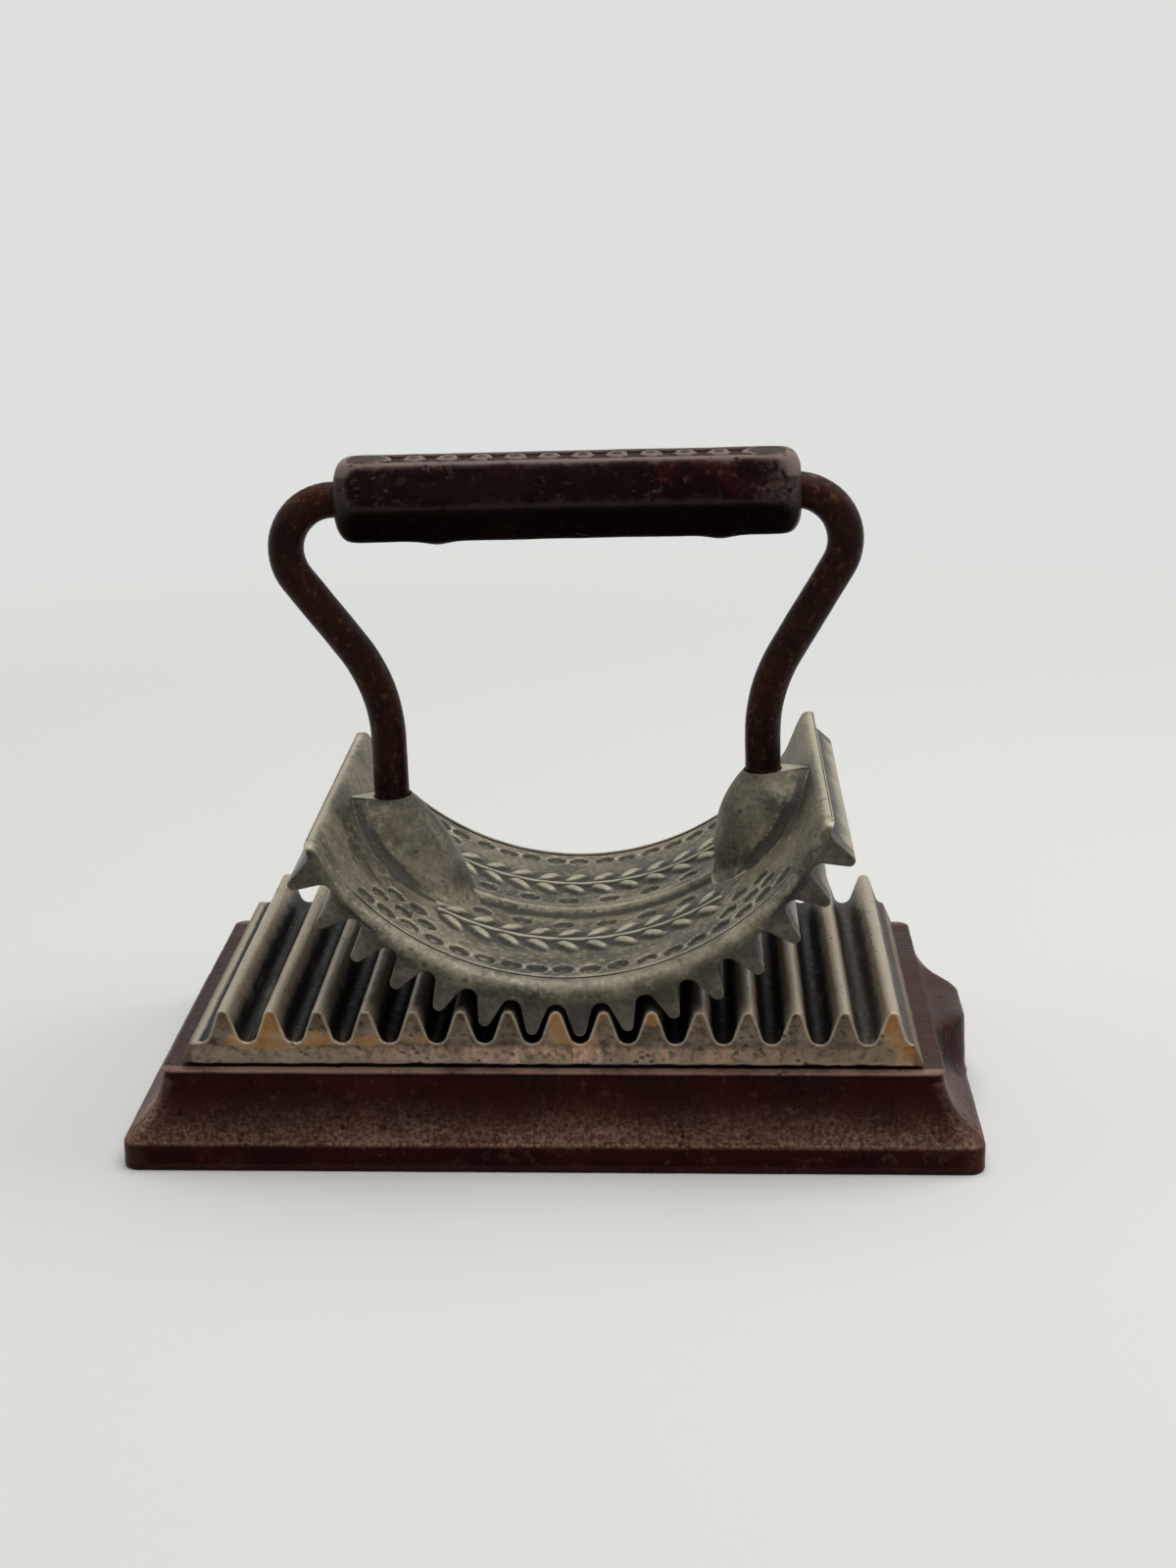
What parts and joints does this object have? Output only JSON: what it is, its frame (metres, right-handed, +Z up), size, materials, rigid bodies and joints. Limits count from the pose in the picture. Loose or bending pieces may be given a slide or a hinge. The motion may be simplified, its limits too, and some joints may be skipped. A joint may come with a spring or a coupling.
{
  "type": "hand fluting iron",
  "caption": "Hand fluter: a heavy plinth with a fluted metal bed, and a curved fluted rocker with a bent-rod bail and hexagonal grip, which rolls over the bed to press flutes into cloth.",
  "frame": {"origin": "middle of the plinth's foot, on the table", "axes": "+Z up, +X along the row of flutes, -Y towards the front"},
  "size_m": [0.1526, 0.081, 0.1212],
  "materials": {
    "japanned_iron": "worn dark maroon japan lacquer on cast iron",
    "bed_metal": "dull tarnish, scraped bright along the front edge",
    "rocker_metal": "grey-olive tarnished casting, worn pale on its ridges",
    "rod_iron": "dark oxide skin",
    "screw_steel": "plain, slightly rusted"
  },
  "bodies": {
    "base": {"base_casting": "japanned_iron", "bed_plate": "bed_metal", "bed_screws": "screw_steel", "bed_washers": "screw_steel"},
    "rocker": {"rocker_shoe": "rocker_metal", "rocker_cradle": "rocker_metal", "shoe_screws": "screw_steel", "bail_rod": "rod_iron", "grip": "japanned_iron"}
  },
  "joints": [
    {"name": "rocker_roll", "type": "hinge", "parent": "base", "child": "rocker", "pos_m": [0.0027, 0, 0.02534], "axis": [0, 1, 0], "range_deg": [-9, 9], "stiffness_Nm_per_rad": 0.2717, "springref_deg": -0.98}
  ]
}
